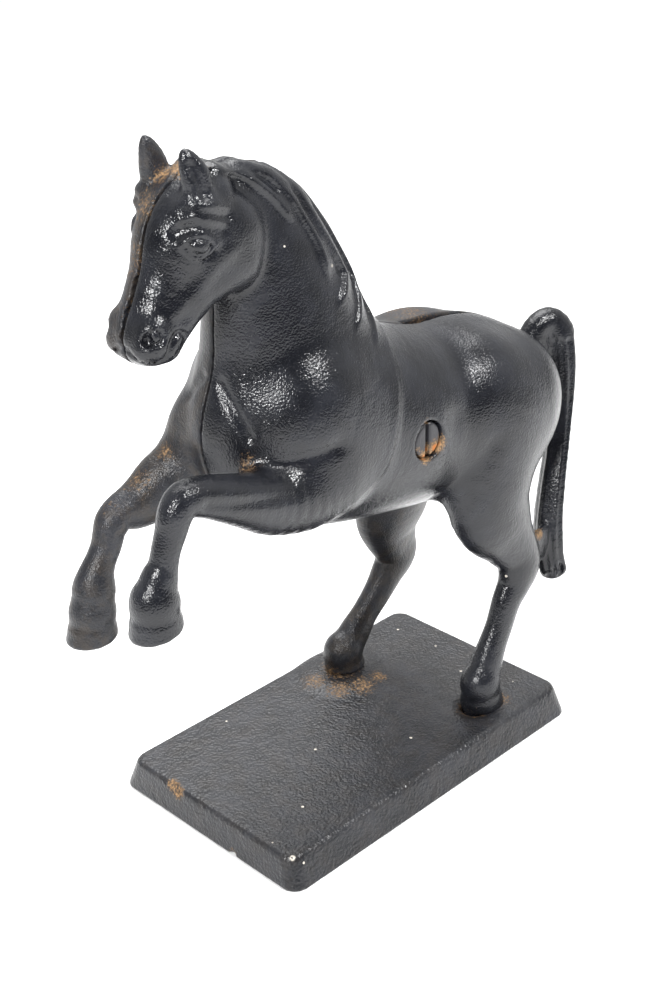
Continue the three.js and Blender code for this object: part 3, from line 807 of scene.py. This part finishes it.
PLATE_RUST = [
    (15.5, 20, 10, 8, 0.74), (6, 21, 9.3, 7, 0.58), (8, 13, 9.3, 7, 0.6), (14, 9.5, 9.3, 7, 0.6),
    (21, 9.5, 9.2, 5, 0.6), (29, -21, 8.5, 7, 0.72), (36.5, -23.5, 9, 6, 0.66), (38, -18, 9, 6, 0.5),
    (-55.6, 12, 8, 3, 0.9), (-54.6, 14.5, 8.6, 3, 0.8), (-56.6, -11, 1, 2, 0.7), (-30, 4, 9, 14, 0.3),
    (50, 0, 9, 16, 0.3),
]
# Pale spots on the plate's chipped edges, as x, y, z, radius and strength: bare iron, and also a painted
# highlight along those edges.
PLATE_CHIPS_AND_EDGE_HIGHLIGHTS = [(-53.4, -31, 9, 1.2, 0.85), (-50.2, -33, 8.8, 0.9, 0.85), (20, -32.4, 9, 0.8, 0.7)]
SCREW_RUST = [
    (4.5, -22, 97.5, 2.6, 0.9), (8.6, -22, 98.6, 3.0, 0.95), (10, -22, 101, 2.2, 0.6),
    (6, -21.3, 98.5, 2.2, 0.95),
    (6, -22, 106, 1.6, 0.7), (2.4, -22, 100, 1.6, 0.7),
]


def finish_piece(piece, material, body_name, node):
    piece.data.materials.append(material)
    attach(piece, body_name)
    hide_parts(node)


# Low and high corners of a box round each piece, in mm.
LEFT_BOX = ((-92, -36, 4), (90, 4, 188))
RIGHT_BOX = ((-92, -4, 4), (84, 36, 188))
PLATE_BOX = ((-60, -38, -1.6), (60, 38, 13))
SCREW_BOX = ((0, -24, 95), (12, 23, 108))
MOST_TRIANGLES = 400000

left = smooth_object("left_half_casting", *surface(lambda p: half(p, -1), *LEFT_BOX), MOST_TRIANGLES)
right = smooth_object("right_half_casting", *surface(lambda p: half(p, 1), *RIGHT_BOX), MOST_TRIANGLES)
base = smooth_object("cast_plate", *surface(plate, *PLATE_BOX), MOST_TRIANGLES)
fastener = smooth_object("slotted_screw", *surface(screw, *SCREW_BOX))
for piece, spots in ((left, LEFT_RUST), (right, RIGHT_RUST), (base, PLATE_RUST), (fastener, SCREW_RUST)):
    paint_spots(piece, "rust", spots)
paint_spots(base, "chipped_and_edge_highlight", PLATE_CHIPS_AND_EDGE_HIGHLIGHTS)
left_paint = painted_iron("left_paint", 0.5, 0.14, 0.23, (0.006, 0.0065, 0.0085))
right_paint = painted_iron("right_paint", 0.45, 0.19, 0.36, tinge=0.3)
plate_paint = painted_iron("plate_paint", 0.8, 0.33, 0.32, (0.012, 0.0125, 0.0148), 0.12, 0.5)
screw_paint = painted_iron("screw_paint", 0.45, 0.06, 0.34, (0.01, 0.01, 0.012))
finish_piece(left, left_paint, "plate_and_left_half", "left_half")
finish_piece(right, right_paint, "right_half", "right_half")
finish_piece(base, plate_paint, "plate_and_left_half", "base_plate")
finish_piece(fastener, screw_paint, "body_screw", "body_screw")

# ---- Camera, floor and light ----
DARK_SIDE = (-0.62, -0.77, 0.15)      # where the studio is dark
FLOOR_HALF = 6.0                      # half the floor's side, in metres


def turn(azimuth, elevation, roll=0.0):
    """Columns are right, up and back for a camera at that azimuth and elevation, in degrees."""
    a, e, r = math.radians(azimuth), math.radians(elevation), math.radians(roll)
    back = Vector((math.sin(a) * math.cos(e), -math.cos(a) * math.cos(e), math.sin(e)))
    right_way = Vector((0, 0, 1)).cross(back).normalized()
    up = back.cross(right_way)
    turned_right = math.cos(r) * right_way + math.sin(r) * up
    turned_up = math.cos(r) * up - math.sin(r) * right_way
    return Matrix((turned_right, turned_up, back)).transposed()


def add_camera():
    data = bpy.data.cameras.new("camera")
    data.lens = 55.6
    data.sensor_width = 36
    camera = bpy.data.objects.new("camera", data)
    place = Vector((-260.3 + PLATE_X, -257.1, 263.3)) * MM
    camera.matrix_world = Matrix.Translation(place) @ turn(-44.70, 26.70, -1.25).to_4x4()
    bpy.context.scene.collection.objects.link(camera)
    bpy.context.scene.camera = camera


def add_floor():
    mesh = bpy.data.meshes.new("floor")
    r = FLOOR_HALF
    mesh.from_pydata([(-r, -r, 0), (r, -r, 0), (r, r, 0), (-r, r, 0)], [], [(0, 1, 2, 3)])
    floor = bpy.data.objects.new("floor", mesh)
    material = bpy.data.materials.new("floor_white")
    material.use_nodes = True
    shader = material.node_tree.nodes["Principled BSDF"]
    shader.inputs["Base Color"].default_value = (0.92, 0.92, 0.92, 1)
    shader.inputs["Roughness"].default_value = 0.9
    mesh.materials.append(material)
    bpy.context.scene.collection.objects.link(floor)


def add_light(name, azimuth, elevation, distance, size, power):
    """A round lamp aimed at the object; angles in degrees, distance and size in metres, power in watts."""
    data = bpy.data.lights.new(name, "AREA")
    data.shape = "DISK"
    data.size = size
    data.energy = power
    lamp = bpy.data.objects.new(name, data)
    axes = turn(azimuth, elevation)
    lamp.matrix_world = Matrix.Translation(axes.col[2] * distance + Vector((0, 0, 0.1))) @ axes.to_4x4()
    bpy.context.scene.collection.objects.link(lamp)


def add_world():
    """A white studio that is darker in front of the object than behind it."""
    world = bpy.data.worlds.new("studio")
    world.use_nodes = True
    tree = world.node_tree
    place = tree.nodes.new("ShaderNodeTexCoord")
    facing = tree.nodes.new("ShaderNodeVectorMath")
    facing.operation = "DOT_PRODUCT"
    facing.inputs[1].default_value = DARK_SIDE
    tree.links.new(place.outputs["Generated"], facing.inputs[0])
    shade = tree.nodes.new("ShaderNodeMapRange")
    shade.interpolation_type = "SMOOTHSTEP"
    shade.inputs["From Min"].default_value = -0.1
    shade.inputs["From Max"].default_value = 0.6
    shade.inputs["To Min"].default_value = 0.9
    shade.inputs["To Max"].default_value = 0.02
    tree.links.new(facing.outputs["Value"], shade.inputs["Value"])
    tree.links.new(shade.outputs["Result"], tree.nodes["Background"].inputs["Strength"])
    tree.nodes["Background"].inputs["Color"].default_value = (1, 1, 1, 1)
    bpy.context.scene.world = world


add_camera()
add_floor()
add_world()
add_light("key", 15, 47, 0.9, 0.14, 8)
add_light("fill", -66, 32, 0.9, 0.16, 9)
add_light("top", 140, 66, 1.3, 1.2, 26)
bpy.context.scene.view_settings.view_transform = "Standard"
